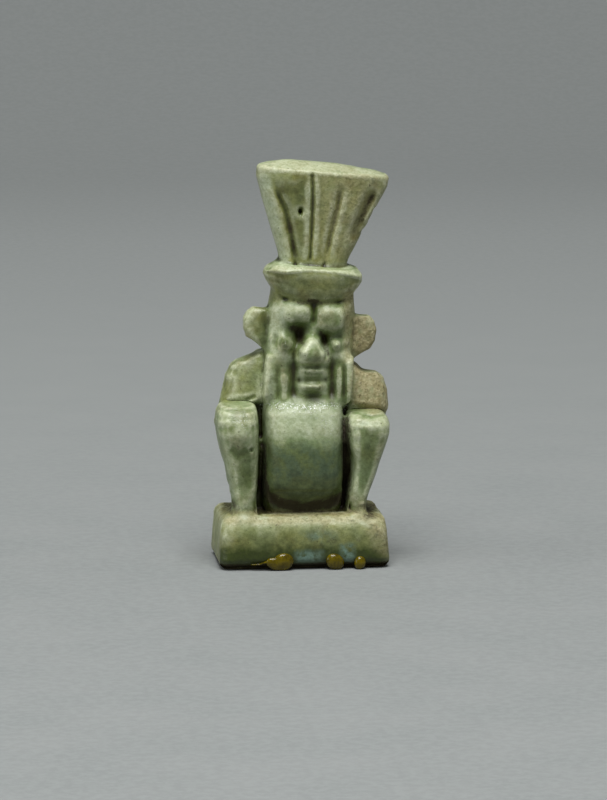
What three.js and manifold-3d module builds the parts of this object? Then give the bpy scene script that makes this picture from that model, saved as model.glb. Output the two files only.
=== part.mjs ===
// A deity amulet: a squatting, bearded dwarf god with lion's ears, a flared crown of plumes and
// his hands on his knees, pressed in a mould in one piece with the plinth that he sits on.
// Millimetres, +Z up. The front faces -Y. The origin is the middle of the plinth's underside.
import * as THREE from "three";
import { mergeVertices } from "three/addons/utils/BufferGeometryUtils.js";
import Module from "manifold-3d";

// Driving dimensions
const PLINTH_WIDTH = 13.8;
const PLINTH_DEPTH = 9.0;
const PLINTH_HEIGHT = 4.2;
const PLINTH_CORNER_RADIUS = 1.0;
const PLINTH_EDGE_RADIUS = 0.75; // of the worn edges above and below
const PLINTH_TAPER = 0.3; // that the ends and sides lean in, from the foot to the top
const FIGURE_HEIGHT = 28; // from the plinth's top to the top of the plumes
const LEAN_DEGREES = 5; // the figure leans to its left above the hips
const PILLAR_WIDTH = 3.4; // the pillar up the figure's back
const PILLAR_INSET = 0.25; // from the plinth's back edge to the pillar's back
const CORD_HOLE_DIAMETER = 1.2; // bored across the pillar, behind the head
const CORD_HOLE_WALL = 0.4; // behind the hole
const GLUE_CLEARANCE = 0.05; // between each dried drop and the plinth

// The figure is set out on a grid of squares, this many from the plinth to the top of the
// plumes, as the old workshops did: every size below that is given in squares follows it.
const SQUARES_HIGH = 28;
const SQUARE = FIGURE_HEIGHT / SQUARES_HIGH;

const WELD = 0.002; // vertices closer than this are one
const CLEAN = 0.012; // slivers thinner than this are closed up after the cuts
const ROOT = 0.3; // squares that a form runs into what carries it
const SIDES = [-1, 1];

const wasm = await Module();
wasm.setup();

// A closed geometry as a solid that can be joined and cut.
function solid(geometry) {
  const bare = new THREE.BufferGeometry();
  bare.setAttribute("position", geometry.getAttribute("position"));
  bare.setIndex(geometry.index);
  const merged = mergeVertices(bare, WELD);
  return new wasm.Manifold(
    new wasm.Mesh({
      numProp: 3,
      vertProperties: merged.attributes.position.array,
      triVerts: new Uint32Array(merged.index.array),
    }),
  );
}

// Moves every vertex of a geometry to place(vertex).
function reshape(geometry, place) {
  const position = geometry.getAttribute("position");
  const v = new THREE.Vector3();
  for (let i = 0; i < position.count; i++) {
    const p = place(v.fromBufferAttribute(position, i));
    position.setXYZ(i, p.x, p.y, p.z);
  }
  return geometry;
}

// A point in squares, counted from the plinth's top, in millimetres.
function at(x, y, h) {
  return new THREE.Vector3(x * SQUARE, y * SQUARE, PLINTH_HEIGHT + h * SQUARE);
}

// One turn round a superellipse: 2 is an ellipse, more is squarer.
function superellipse(angle, squareness) {
  const power = 2 / squareness;
  const bend = (c) => Math.sign(c) * Math.abs(c) ** power;
  return [bend(Math.cos(angle)), bend(Math.sin(angle))];
}

// An upright form through level sections. Each row is
// [height, middle x, half width, front y, back y], from the bottom up.
function column(rows, squareness, sides, scale = at) {
  const blank = new THREE.CylinderGeometry(1, 1, 2, sides, rows.length - 1);
  blank.rotateX(Math.PI / 2);
  return reshape(blank, (v) => {
    const row = Math.round(((v.z + 1) / 2) * (rows.length - 1));
    const [height, middle, half, front, back] = rows[row];
    const [c, s] = superellipse(Math.atan2(v.y, v.x), squareness);
    const out = Math.hypot(v.x, v.y) > 0.5 ? 1 : 0;
    const y = (front + back) / 2 + (out * s * (back - front)) / 2;
    return scale(middle + out * c * half, y, height);
  });
}

// A rounded form from one point to another. Its section has the radii [across, deep], and each
// end its own; across runs along x, or upwards on a form that lies along x.
function limb(from, to, fromRadii, toRadii, sides = 12, rings = 7) {
  const axis = new THREE.Vector3(...to).sub(new THREE.Vector3(...from)).normalize();
  const across = Math.abs(axis.x) > 0.8 ? new THREE.Vector3(0, 0, 1) : new THREE.Vector3(1, 0, 0);
  across.addScaledVector(axis, -across.dot(axis)).normalize();
  const deep = new THREE.Vector3().crossVectors(axis, across);
  const blank = new THREE.SphereGeometry(1, sides, rings).rotateX(Math.PI / 2);
  return reshape(blank, (v) => {
    const [end, radii] = v.z < 0 ? [from, fromRadii] : [to, toRadii];
    const p = new THREE.Vector3(...end);
    p.addScaledVector(across, v.x * radii[0]);
    p.addScaledVector(deep, v.y * radii[1]);
    p.addScaledVector(axis, v.z * Math.min(...radii));
    return at(p.x, p.y, p.z);
  });
}

// A rounded lump with its own radius along x, y and z: 2 is an ellipsoid, more is squarer.
function lump(centre, radii, sides = 14, rings = 10, squareness = 2) {
  const blank = new THREE.SphereGeometry(1, sides, rings).rotateX(Math.PI / 2);
  return reshape(blank, (v) => {
    const sum = v.toArray().reduce((total, c) => total + Math.abs(c) ** squareness, 0);
    v.multiplyScalar(sum ** (-1 / squareness));
    return at(centre[0] + v.x * radii[0], centre[1] + v.y * radii[1], centre[2] + v.z * radii[2]);
  });
}

// The upper figure is carved upright and then leans over about a point at the hips.
const LEAN_FROM = 5.9;
const HIP = at(0, 0, LEAN_FROM);
const LEANING = new THREE.Matrix4()
  .makeTranslation(HIP.x, HIP.y, HIP.z)
  .multiply(new THREE.Matrix4().makeRotationY(THREE.MathUtils.degToRad(LEAN_DEGREES)))
  .multiply(new THREE.Matrix4().makeTranslation(-HIP.x, -HIP.y, -HIP.z));

function leaning(geometries) {
  return geometries.map((g) => solid(g.applyMatrix4(LEANING)));
}

function upright(geometries) {
  return geometries.map((g) => solid(g));
}

const join = (solids) => wasm.Manifold.union(solids);

// The one outer shell, without the slits that close up between forms.
function outerShell(made) {
  return made.decompose().sort((a, b) => b.volume() - a.volume())[0];
}

// The plinth: a rounded block with worn edges, a little narrower at the top.
function plinthBlock(grow = 0) {
  const edge = PLINTH_EDGE_RADIUS;
  const corner = PLINTH_CORNER_RADIUS;
  const x = PLINTH_WIDTH / 2 - corner;
  const y = PLINTH_DEPTH / 2 - corner;
  const outline = new THREE.Shape();
  outline.absarc(x, y, corner, 0, Math.PI / 2);
  outline.absarc(-x, y, corner, Math.PI / 2, Math.PI);
  outline.absarc(-x, -y, corner, Math.PI, 1.5 * Math.PI);
  outline.absarc(x, -y, corner, 1.5 * Math.PI, 2 * Math.PI);
  const block = new THREE.ExtrudeGeometry(outline, {
    depth: PLINTH_HEIGHT - 2 * edge,
    steps: 2,
    curveSegments: 4,
    bevelThickness: edge,
    bevelSize: edge,
    bevelOffset: -edge,
    bevelSegments: 3,
  });
  block.translate(0, 0, edge);
  return reshape(block, (v) => {
    const lean = 1 - ((PLINTH_TAPER * v.z) / PLINTH_HEIGHT) * (2 / PLINTH_WIDTH);
    const wider = 1 + (2 * grow) / PLINTH_WIDTH;
    const deeper = 1 + (2 * grow) / PLINTH_DEPTH;
    const taller = 1 + (2 * grow) / PLINTH_HEIGHT;
    return v.set(v.x * lean * wider, v.y * lean * deeper, v.z * taller - grow);
  });
}

// The belly: a cushion that swells over the plinth between the legs.
function belly() {
  const [middle, half, centre, depth] = [0.1, 3.18, -0.7, 3.3];
  const [low, high] = [-0.4, 9.9];
  const steps = 11;
  const rows = [];
  for (let i = 0; i <= steps; i++) {
    const t = -0.995 * Math.cos((i / steps) * Math.PI);
    const wide = (1 - Math.abs(t) ** 8) ** (1 / 8);
    const deep = (1 - Math.abs(t) ** 2.4) ** (1 / 2.4);
    const height = (low + high) / 2 + ((high - low) / 2) * t;
    rows.push([height, middle, half * wide, centre - depth * deep, centre + depth * deep]);
  }
  return [column(rows, 3.8, 26)];
}

// Hips, buttocks and back behind the belly.
function torso() {
  return [
    column(
      [
        [-ROOT, 0, 5.0, -0.1, 3.0],
        [0.8, 0, 5.4, -0.2, 3.4],
        [2.2, 0, 5.6, -0.3, 3.6],
        [3.8, 0, 5.6, -0.3, 3.4],
        [5.6, 0.1, 5.8, -0.4, 2.9],
        [7.4, 0.1, 6.0, -0.5, 2.7],
        [9, 0.2, 5.8, -0.6, 2.6],
      ],
      3.2,
      24,
    ),
  ];
}

// A leg drawn up, from the foot to the knee: [height, distance out, half width, front y]. The
// figure's right leg is the stouter, and its knee is the higher.
const LEG_BACK = 0.6;
const RIGHT_LEG = [
  [-ROOT, 4.7, 1.25, -3.75],
  [0.25, 4.68, 1.0, -3.65],
  [1.1, 4.7, 1.0, -3.5],
  [2.4, 4.73, 1.14, -3.5],
  [3.7, 4.85, 1.33, -3.6],
  [5.1, 5.02, 1.52, -3.8],
  [6.6, 5.2, 1.7, -3.98],
  [7.6, 5.25, 1.74, -3.92],
  [8.3, 5.22, 1.64, -3.55],
  [8.75, 5.15, 1.4, -2.95],
  [8.95, 5.05, 1.0, -2.2],
];
const LEFT_LEG = [
  [-ROOT, 4.35, 1.0, -3.75],
  [0.35, 4.32, 0.76, -3.6],
  [1.2, 4.38, 0.8, -3.45],
  [2.3, 4.66, 0.92, -3.45],
  [3.2, 4.92, 1.02, -3.5],
  [4.3, 5.1, 1.2, -3.65],
  [5.4, 5.1, 1.55, -3.85],
  [6.5, 5.2, 1.78, -3.97],
  [7.2, 5.2, 1.8, -3.9],
  [7.75, 5.15, 1.68, -3.5],
  [8.05, 5.1, 1.4, -2.9],
  [8.2, 5.05, 1.0, -2.1],
];

function leg(side) {
  const rows = side < 0 ? RIGHT_LEG : LEFT_LEG;
  const shin = rows.map(([height, out, half, front]) => [height, side * out, half, front, LEG_BACK]);
  const thigh = limb([side * 5.0, -1.4, 5.9], [side * 4.1, 1.35, 2.6], [1.6, 1.6], [1.75, 2.1], 14, 9);
  return [column(shin, 3.3, 18), thigh];
}

// The upper arm hangs from the shoulder, and the forearm lies along the thigh to the knee.
function arm(side) {
  const knee = side < 0 ? 7.9 : 7.25;
  return [
    limb([side * 4.95, 0.95, 9.4], [side * 5.5, 1.1, 7.1], [1.35, 1.6], [1.3, 1.5], 14, 7),
    limb([side * 5.6, 1.1, 7], [side * 5.4, -2.2, knee], [1.2, 1.1], [1.4, 0.8], 14, 7),
  ];
}

// The hollow under each thigh, from the side.
function legCuts(side) {
  return [limb([side * 6.1, -0.75, 0.8], [side * 6.7, -1.0, 3.4], [1.1, 0.7], [0.8, 0.5], 12, 7)];
}

// The shoulders, square and set back from the face.
function shoulders() {
  return [
    column(
      [
        [5.4, 0.1, 6.1, -0.5, 2.7],
        [7.4, 0.25, 6.5, -0.8, 2.8],
        [8.8, 0.32, 6.7, -0.9, 2.8],
        [10.2, 0.22, 6.56, -0.9, 2.75],
        [11.1, 0.2, 6.2, -0.85, 2.65],
        [11.5, 0.15, 5.75, -0.8, 2.55],
        [11.8, 0, 5.0, -0.75, 2.45],
        [12.1, -0.2, 4.2, -0.7, 2.4],
        [12.5, -0.3, 3.6, -0.6, 2.3],
      ],
      4,
      26,
    ),
  ];
}

// The head: a block with square cheeks, under the crown.
function head() {
  return [
    column(
      [
        [8.2, 0, 3.1, -1.9, 2.1],
        [8.8, 0, 3.4, -2.15, 2.3],
        [11, 0, 3.5, -2.2, 2.35],
        [12.9, 0, 3.5, -2.15, 2.35],
        [14.5, 0, 3.45, -1.95, 2.3],
        [16.5, 0, 3.42, -2.05, 2.2],
        [17.6, 0, 3.3, -1.95, 2.1],
        [18.2, 0, 2.9, -1.6, 1.9],
      ],
      4,
      26,
    ),
  ];
}

// The rows of a pad of mane: [height, middle x, half width, front y, back y].
function mane(middle, half, low, high) {
  return [
    [low, middle, half * 0.8, -2.2, -1],
    [low + 0.3, middle, half * 0.94, -2.48, -1],
    [(low + high) / 2, middle, half, -2.6, -1],
    [high - 0.4, middle, half * 0.96, -2.5, -1],
    [high - 0.12, middle, half * 0.86, -2.3, -1],
    [high, middle, half * 0.7, -2.0, -1],
  ];
}

// The jaw's middle line is set to the figure's left of the head's.
const JAW_SHIFT = 0.4;

// The face stands out from the head: scowling brows, a broad nose over a square muzzle with two
// lips, and a pad of mane down each cheek.
function face() {
  const nose = [
    [11.85, 0.2, 0.8, -2.7, -1.6],
    [12.2, 0.18, 0.98, -3.0, -1.6],
    [12.7, 0.15, 1.15, -3.35, -1.6],
    [13.15, 0.1, 1.2, -3.6, -1.6],
    [13.5, 0.07, 1.0, -3.4, -1.6],
    [13.9, 0.03, 0.65, -3.0, -1.6],
    [14.4, 0, 0.28, -2.55, -1.6],
  ];
  const muzzle = [
    [8.6, JAW_SHIFT, 1.1, -2.0, -1],
    [9.3, JAW_SHIFT, 1.16, -2.3, -1],
    [9.9, JAW_SHIFT, 1.2, -2.62, -1],
    [10.9, JAW_SHIFT - 0.03, 1.22, -2.72, -1],
    [12, JAW_SHIFT - 0.12, 1.2, -2.72, -1],
    [12.8, JAW_SHIFT - 0.2, 1.18, -2.55, -1],
  ];
  return [
    lump([-1.33, -1.75, 16.1], [1.28, 1.0, 1.02], 16, 10, 3),
    lump([1.36, -1.75, 15.85], [1.28, 1.0, 1.22], 16, 10, 3),
    column(nose, 2.3, 16),
    column(muzzle, 4, 16),
    limb([-0.22, -2.72, 11.45], [0.88, -2.72, 11.45], [0.32, 0.4], [0.32, 0.4], 10, 7),
    limb([-0.1, -2.7, 10.3], [0.9, -2.7, 10.3], [0.28, 0.38], [0.28, 0.38], 10, 7),
    column(mane(-2.5, 1.12, 8.9, 12.7), 4, 14),
    column(mane(2.9, 0.72, 9.0, 13), 4, 14),
  ];
}

// The bead eyes, set in their hollows once those are cut.
function eyes() {
  return [
    lump([-2.1, -1.95, 13.5], [0.56, 0.62, 0.7], 14, 10),
    lump([2.03, -1.95, 13.85], [0.46, 0.58, 0.56], 14, 10),
  ];
}

// The cuts that set the face's forms apart: a line between the brows, a hollow round each eye
// that is deepest beside the nose, the mouth, grooves beside the muzzle and between the locks.
function faceCuts() {
  return [
    limb([0, -3.0, 14.7], [-0.03, -3.0, 17.1], [0.2, 0.62], [0.22, 0.62], 8, 5),
    lump([-1.85, -2.55, 13.85], [1.1, 0.7, 0.95], 14, 9),
    lump([1.85, -2.55, 13.95], [0.9, 0.65, 0.8], 14, 9),
    lump([-1.0, -2.4, 14.25], [0.52, 1.1, 0.78], 12, 8),
    lump([1.08, -2.4, 14.0], [0.4, 1.1, 0.8], 12, 8),
    limb([-0.35, -3.15, 10.87], [1.12, -3.15, 10.87], [0.15, 0.5], [0.15, 0.5], 8, 5),
    limb([-1.06, -2.85, 9.6], [-1.4, -2.8, 12.6], [0.25, 0.8], [0.22, 0.75], 10, 5),
    limb([1.96, -2.85, 9.7], [1.66, -2.8, 12.8], [0.3, 0.8], [0.28, 0.75], 10, 5),
    limb([-2.38, -2.7, 9.1], [-2.42, -2.75, 11.9], [0.13, 0.42], [0.12, 0.45], 8, 5),
    limb([2.88, -2.7, 9.3], [2.82, -2.7, 12.4], [0.1, 0.4], [0.1, 0.4], 8, 5),
  ];
}

// A lion's ear: a thick lobe, flat on top, that stands out from the head and is creased where
// it joins. Each row is [height, how far out, front y, back y]. The right ear's foot is higher.
const EAR_INNER = 3.1;
const RIGHT_EAR_LIFT = 0.35;
const EAR = [
  [12.45, 3.7, -0.7, 0.4],
  [12.95, 4.25, -0.9, 0.55],
  [13.45, 5.0, -1.0, 0.6],
  [14.1, 5.33, -1.05, 0.65],
  [15, 5.38, -1.05, 0.65],
  [15.65, 5.15, -1.0, 0.6],
  [16.05, 4.75, -0.85, 0.5],
];

function ear(side) {
  const top = EAR[EAR.length - 1][0];
  const foot = EAR[0][0];
  const lift = side < 0 ? RIGHT_EAR_LIFT : 0;
  const rows = EAR.map(([height, out, front, back]) => [
    height + (lift * (top - height)) / (top - foot),
    (side * (EAR_INNER + out)) / 2,
    (out - EAR_INNER) / 2,
    front,
    back,
  ]);
  return [column(rows, 3, 18)];
}

function earCuts(side) {
  return [limb([side * 3.68, -1.2, 12.9], [side * 3.68, -1.2, 16.3], [0.17, 0.35], [0.17, 0.35], 8, 5)];
}

// The cap that the plumes rise from: like a boat's hull, wider than the head, with its two
// ends turned up.
const CAP_RISE = 0.34;
function cap() {
  const turnUp = (x, y, h) => {
    const end = Math.min(1, Math.abs(x + 0.19) / 4.06) ** 5;
    const rim = THREE.MathUtils.smoothstep(h, 17.4, 19.2);
    return at(x, y, h + CAP_RISE * end * rim);
  };
  return [
    column(
      [
        [16.95, -0.19, 2.1, -2.35, 1.4],
        [17.15, -0.19, 2.4, -2.6, 1.6],
        [17.6, -0.19, 3.0, -2.8, 1.9],
        [18.2, -0.19, 3.7, -2.95, 2.0],
        [18.65, -0.19, 4.02, -3.0, 2.05],
        [19.25, -0.19, 4.06, -3.0, 2.1],
        [19.6, -0.15, 3.9, -2.85, 2.0],
        [19.8, -0.1, 3.55, -2.55, 1.9],
      ],
      2.9,
      30,
      turnUp,
    ),
  ];
}

// How far the plumes reach at a height: [middle x, half width, front y, back y].
const PLUME_FOOT = 19.6;
const PLUME_RIM = 26.5;
const PLUME_TOP = 27.25;
function plumeReach(height) {
  const t = Math.min(1, (height - PLUME_FOOT) / (PLUME_RIM - PLUME_FOOT));
  const mix = THREE.MathUtils.lerp;
  return [mix(-0.24, -0.04, t), mix(2.48, 5.3, t), mix(-1.65, -2.0, t), mix(1.8, 2.1, t)];
}

const PLUME_SQUARENESS = 3.2;

// The crown: a fan of tall plumes that spreads up to an upright rim, with a low dome on top.
function plumes() {
  const rows = [0, 0.35, 0.7, 1].map((t) => {
    const height = THREE.MathUtils.lerp(PLUME_FOOT, PLUME_RIM, t);
    return [height, ...plumeReach(height)];
  });
  const [middle, half, front, back] = plumeReach(PLUME_RIM);
  rows.push([PLUME_TOP, middle, half, front, back]);
  rows.push([PLUME_TOP + 0.22, middle - 0.05, half - 0.2, front + 0.15, back - 0.15]);
  rows.push([PLUME_TOP + 0.42, middle - 0.3, half - 0.9, front + 0.7, back - 0.5]);
  rows.push([SQUARES_HIGH, middle - 0.9, half * 0.4, front + 1.6, back - 1.0]);
  return [column(rows, PLUME_SQUARENESS, 38)];
}

// The grooves between the plumes: each line runs from a share of the half width at its foot to
// another at its top, as [foot share, top share, foot height, top height, half width].
const PLUME_LINES = [
  [-0.57, -0.8, 19.9, 26.2, 0.2],
  [-0.15, -0.19, 19.9, 27.0, 0.15],
  [0.3, 0.276, 19.9, 26.2, 0.17],
  [0.78, 0.78, 22.8, 26.4, 0.2],
];

function plumeCuts() {
  const depth = 0.38;
  const point = (share, height, front) => {
    const [centre, half, near, far] = plumeReach(height);
    const bulge = (1 - Math.abs(share) ** PLUME_SQUARENESS) ** (1 / PLUME_SQUARENESS);
    const middle = (near + far) / 2;
    const y = middle + (front ? -1 : 1) * ((far - near) / 2) * bulge;
    return [centre + share * half, y, height];
  };
  return PLUME_LINES.flatMap(([foot, top, low, high, half]) =>
    [true, false].map((front) =>
      limb(point(foot, low, front), point(top, high, front), [half, depth], [half * 0.8, depth * 0.75], 8, 5),
    ),
  );
}

// The pillar up the back, from the plinth to the cap, and the hole for the cord.
const PILLAR_TOP = 18.4;
const PILLAR_BACK = PLINTH_DEPTH / 2 - PILLAR_INSET;
function pillar() {
  const half = PILLAR_WIDTH / 2;
  const foot = at(0, 0, -ROOT).z;
  const top = at(0, 0, PILLAR_TOP).z;
  const reach = 0.8 * SQUARE;
  return column(
    [
      [foot, 0, half, 0, PILLAR_BACK],
      [top - reach, 0, half, 0, PILLAR_BACK],
      [top - reach * 0.4, 0, half * 0.96, 0, PILLAR_BACK - reach * 0.35],
      [top, 0, half * 0.85, 0, PILLAR_BACK - reach * 1.4],
    ],
    9,
    24,
    (x, y, z) => new THREE.Vector3(x, y, z),
  );
}

function cordHole() {
  const radius = CORD_HOLE_DIAMETER / 2;
  const height = at(0, 0, 15.8).z;
  const bore = new THREE.CylinderGeometry(radius, radius, PILLAR_WIDTH * 3, 16);
  bore.rotateZ(Math.PI / 2);
  return bore.translate(0, PILLAR_BACK - CORD_HOLE_WALL - radius, height);
}

// Where the amulet is broken or worn: the crown's edge, a plinth corner and hollows by the feet.
function chips() {
  return [
    ...leaning([
      lump([4.7, -1.1, 24.2], [0.5, 1.3, 0.8], 10, 7),
      lump([4.3, -1.3, 22.9], [0.38, 1.1, 0.5], 10, 7),
      lump([5.55, -1.4, 25.9], [0.42, 1.2, 0.6], 10, 7),
    ]),
    ...upright([
      lump([6.9, -3.9, 0.55], [2.1, 2.2, 0.95], 14, 8),
      lump([6.2, 0.3, 0.35], [0.75, 2.6, 0.5], 12, 8),
      lump([-6.2, 0.9, 0.3], [0.6, 2.2, 0.42], 12, 8),
    ]),
  ];
}

// The amulet, in one piece.
function amulet() {
  const forms = [
    solid(plinthBlock()),
    solid(pillar()),
    ...upright([...belly(), ...torso(), ...SIDES.flatMap(leg), ...SIDES.flatMap(arm)]),
    ...leaning([...shoulders(), ...head(), ...SIDES.flatMap(ear), ...cap(), ...plumes()]),
  ];
  const raised = leaning(face());
  const cuts = [
    ...leaning([...faceCuts(), ...SIDES.flatMap(earCuts), ...plumeCuts()]),
    ...upright(SIDES.flatMap(legCuts)),
    ...chips(),
    solid(cordHole()),
  ];
  const carved = join([...forms, ...raised]).subtract(join(cuts));
  return outerShell(join([carved, ...leaning(eyes())]).simplify(CLEAN));
}

// A dried drop of glue at the front of the plinth's foot: [middle x, half width, height].
const DROPS = {
  dried_glue_left: [-0.26, 0.95, 1.5],
  dried_glue_middle: [0.343, 0.82, 1.4],
  dried_glue_right: [0.632, 0.52, 1.15],
};

function drop([share, half, height]) {
  const front = -PLINTH_DEPTH / 2;
  const blank = new THREE.SphereGeometry(1, 12, 8).rotateX(Math.PI / 2);
  const bead = reshape(blank, (v) => {
    const z = Math.max(0, height * 0.42 + v.z * height * 0.58);
    return new THREE.Vector3((share * PLINTH_WIDTH) / 2 + v.x * half, front + 0.3 + v.y * 0.6, z);
  });
  return solid(bead).subtract(solid(plinthBlock(GLUE_CLEARANCE)));
}

// A solid as a mesh with flat faces.
function meshOf(name, made, material) {
  const { numProp, vertProperties, triVerts } = made.getMesh();
  const positions = new Float32Array((vertProperties.length / numProp) * 3);
  for (let i = 0; i < positions.length / 3; i++) {
    positions.set(vertProperties.subarray(i * numProp, i * numProp + 3), i * 3);
  }
  const geometry = new THREE.BufferGeometry();
  geometry.setAttribute("position", new THREE.BufferAttribute(positions, 3));
  geometry.setIndex(new THREE.BufferAttribute(triVerts, 1));
  const flat = geometry.toNonIndexed();
  flat.computeVertexNormals();
  const mesh = new THREE.Mesh(flat, material);
  mesh.name = name;
  return mesh;
}

const faience = new THREE.MeshStandardMaterial({ color: 0x8f9a75, roughness: 0.38, metalness: 0 });
const driedGlue = new THREE.MeshStandardMaterial({ color: 0x7a6a14, roughness: 0.12, metalness: 0 });

const group = new THREE.Group();
group.add(meshOf("amulet", amulet(), faience));
for (const [name, sizes] of Object.entries(DROPS)) {
  group.add(meshOf(name, drop(sizes), driedGlue));
}

export default group;
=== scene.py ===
# %% [markdown]
# # A faience deity amulet
# The real thing is a finger-joint high: a squatting dwarf god with a lion's mane and a tall
# crown of plumes, pressed in a mould in one with its plinth, and glazed green. Its solids come
# packed from the CAD source. This lesson dresses them: it copies the amulet's solid, melts its
# facets into one soft skin, works the fine modelling into that skin and then glazes it.

import math

import bmesh
import bpy
import numpy as np
from mathutils import Matrix, Vector


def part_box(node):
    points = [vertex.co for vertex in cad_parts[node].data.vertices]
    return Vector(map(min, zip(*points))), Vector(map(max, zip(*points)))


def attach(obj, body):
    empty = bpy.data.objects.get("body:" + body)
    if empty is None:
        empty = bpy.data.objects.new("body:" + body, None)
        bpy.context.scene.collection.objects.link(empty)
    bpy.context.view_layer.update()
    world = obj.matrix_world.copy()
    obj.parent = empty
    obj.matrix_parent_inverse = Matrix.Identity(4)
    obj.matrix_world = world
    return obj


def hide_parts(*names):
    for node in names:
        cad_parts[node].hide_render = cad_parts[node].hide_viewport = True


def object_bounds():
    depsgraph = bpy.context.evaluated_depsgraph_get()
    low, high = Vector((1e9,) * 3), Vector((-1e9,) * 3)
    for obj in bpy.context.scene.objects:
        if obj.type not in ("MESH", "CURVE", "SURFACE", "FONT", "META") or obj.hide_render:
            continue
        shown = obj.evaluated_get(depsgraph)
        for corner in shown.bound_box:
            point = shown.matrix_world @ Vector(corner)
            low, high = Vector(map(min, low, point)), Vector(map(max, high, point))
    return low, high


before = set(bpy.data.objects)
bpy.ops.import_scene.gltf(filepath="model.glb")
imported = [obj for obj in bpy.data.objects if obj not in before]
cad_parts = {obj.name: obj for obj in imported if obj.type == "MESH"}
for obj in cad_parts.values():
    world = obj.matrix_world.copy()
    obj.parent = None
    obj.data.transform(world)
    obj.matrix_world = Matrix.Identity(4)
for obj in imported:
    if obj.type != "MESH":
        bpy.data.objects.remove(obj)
cad_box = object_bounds()
print("CAD nodes:", sorted(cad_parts))

# %% [markdown]
# ## Units and small helpers
# Blender's own unit is the metre, and its voxel tool gets coarse below a tenth of a millimetre.
# So everything is shaped in millimetres and each finished mesh is scaled down once, at the end.

# %% Millimetres, ramps and colours
MM_PER_M = 1000.0


def ramp(low, high, value):
    """A smooth step: 0 below low, 1 above high, and 3t^2 - 2t^3 between them."""
    t = np.clip((value - low) / (high - low), 0.0, 1.0)
    return t * t * (3.0 - 2.0 * t)


def linear(hex_colour):
    """An sRGB hex colour as linear red, green, blue and 1: ((c + 0.055) / 1.055)^2.4."""
    parts = np.array([int(hex_colour[i : i + 2], 16) for i in (1, 3, 5)]) / 255.0
    low, high = parts / 12.92, ((parts + 0.055) / 1.055) ** 2.4
    return (*np.where(parts <= 0.04045, low, high), 1.0)


lowest, highest = (np.array(corner) * MM_PER_M for corner in cad_box)
print("CAD box in mm:", lowest.round(2), highest.round(2))

# %% [markdown]
# ## The camera comes first
# A mould is drawn off the front of a figure, and this one is best known from its front. So the
# camera is placed first, and the modelling is later drawn on the plane that it looks at, in
# millimetres across and up from the foot of the plinth. It looks a little down on the amulet,
# and a little from the figure's right.

# %% Where the camera stands
AZIMUTH = math.radians(-6)
ELEVATION = math.radians(9)
EYE_DISTANCE = 450.0
AIM = np.array([0.3, 0.0, 13.0])
SHOWN_HEIGHT = 64.0
SENSOR = 36.0

RIGHT = np.array([math.cos(AZIMUTH), math.sin(AZIMUTH), 0.0])
BACK = np.array(
    [
        math.sin(AZIMUTH) * math.cos(ELEVATION),
        -math.cos(AZIMUTH) * math.cos(ELEVATION),
        math.sin(ELEVATION),
    ]
)
UP = np.cross(BACK, RIGHT)


def drawn(points):
    """Where the eye sees points, in mm on an upright sheet through the aim.

    Perspective: what is nearer than the aim is spread by distance / (distance - nearness).
    """
    offset = points - AIM
    spread = EYE_DISTANCE / (EYE_DISTANCE - offset @ BACK)
    return AIM[0] + (offset @ RIGHT) * spread, AIM @ UP + (offset @ UP) * spread


camera_data = bpy.data.cameras.new("camera")
camera_data.sensor_width = SENSOR
camera_data.lens = SENSOR * EYE_DISTANCE / SHOWN_HEIGHT
camera_data.clip_start = 0.01
camera = bpy.data.objects.new("camera", camera_data)
camera.location = Vector((AIM + BACK * EYE_DISTANCE) / MM_PER_M)
camera.rotation_euler = Vector(BACK).to_track_quat("Z", "Y").to_euler()
bpy.context.scene.collection.objects.link(camera)
bpy.context.scene.camera = camera
print("lens in mm:", round(camera_data.lens, 1))

# %% [markdown]
# ## The skin
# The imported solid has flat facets, while real faience paste slumps and its glaze rounds every
# edge. A voxel remesh turns a copy of the solid into even little squares, fine enough to carve,
# and a few turns of relaxing melt the facets. The copy's loose triangles are merged first.

# %% Remesh a copy of the amulet
VOXEL = 0.132
MERGE = 0.001


def merged_copy(solid):
    """A solid's mesh in millimetres, with its loose triangles joined at their corners."""
    mesh = solid.data.copy()
    mesh.transform(Matrix.Scale(MM_PER_M, 4))
    shape = bmesh.new()
    shape.from_mesh(mesh)
    bmesh.ops.remove_doubles(shape, verts=shape.verts, dist=MERGE)
    shape.to_mesh(mesh)
    shape.free()
    return mesh


def remeshed(mesh, voxel):
    """The mesh cut anew into even quads: its corners as an array, and its faces."""
    holder = bpy.data.objects.new("remesh_blank", mesh)
    bpy.context.scene.collection.objects.link(holder)
    tool = holder.modifiers.new("remesh", "REMESH")
    tool.mode = "VOXEL"
    tool.voxel_size = voxel
    tool.adaptivity = 0.0
    depsgraph = bpy.context.evaluated_depsgraph_get()
    made = bpy.data.meshes.new_from_object(holder.evaluated_get(depsgraph))
    points = np.empty(len(made.vertices) * 3)
    made.vertices.foreach_get("co", points)
    corners = np.empty(len(made.loops), np.int64)
    made.loops.foreach_get("vertex_index", corners)
    bpy.data.objects.remove(holder)
    bpy.data.meshes.remove(made)
    return points.reshape(-1, 3), corners.reshape(-1, 4)


points, quads = remeshed(merged_copy(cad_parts["amulet"]), VOXEL)
print("skin:", len(points), "corners,", 2 * len(quads), "triangles")

# %% [markdown]
# ## Melting the facets
# Relaxing draws each corner towards its neighbours' mean, as a glaze draws itself smooth. Done
# bluntly it would shrink thin parts, so each turn in is followed by one back out, and only where
# the skin hardly moves, on the facets and not on the edges, does it follow the relaxed one.

# %% Relax a skin of quads
edges = np.sort(np.stack([quads, np.roll(quads, -1, axis=1)], -1).reshape(-1, 2), axis=1)
edges = np.unique(edges, axis=0)
valence = np.bincount(edges.ravel(), minlength=len(points)).astype(float)


def neighbour_mean(values):
    """The mean of each corner's neighbours along the edges, for one number a corner."""
    first, second = edges.T
    total = np.bincount(first, values[second], len(valence))
    total += np.bincount(second, values[first], len(valence))
    return total / valence


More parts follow.
